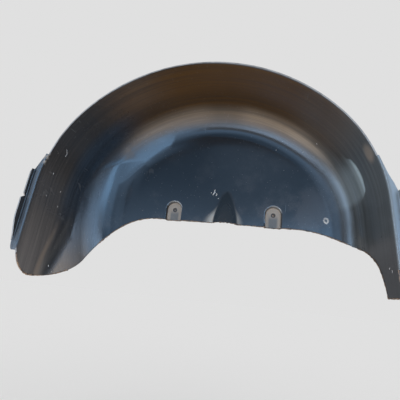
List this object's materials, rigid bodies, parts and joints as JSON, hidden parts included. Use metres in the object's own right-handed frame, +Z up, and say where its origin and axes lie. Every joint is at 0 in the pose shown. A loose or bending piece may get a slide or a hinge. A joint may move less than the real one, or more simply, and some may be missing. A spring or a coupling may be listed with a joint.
{
  "type": "wheel arch liner",
  "caption": "Vacuum-formed plastic liner for a car's wheel arch: a half-round barrel closed by an inner wall, with sunk screw tabs, a stiffening tongue and narrow rim flanges.",
  "frame": {"origin": "midway between the screw holes of the two tabs, on the tabs' back faces, where they lie against the body", "axes": "+X along the car, to the right as seen from the wheel; +Y inboard, away from the wheel; +Z up, as fitted"},
  "size_m": [0.6815, 0.2255, 0.4343],
  "materials": {
    "black_plastic": "glossy black, as formed"
  },
  "bodies": {
    "root": {"arch_liner": "black_plastic"}
  },
  "joints": []
}
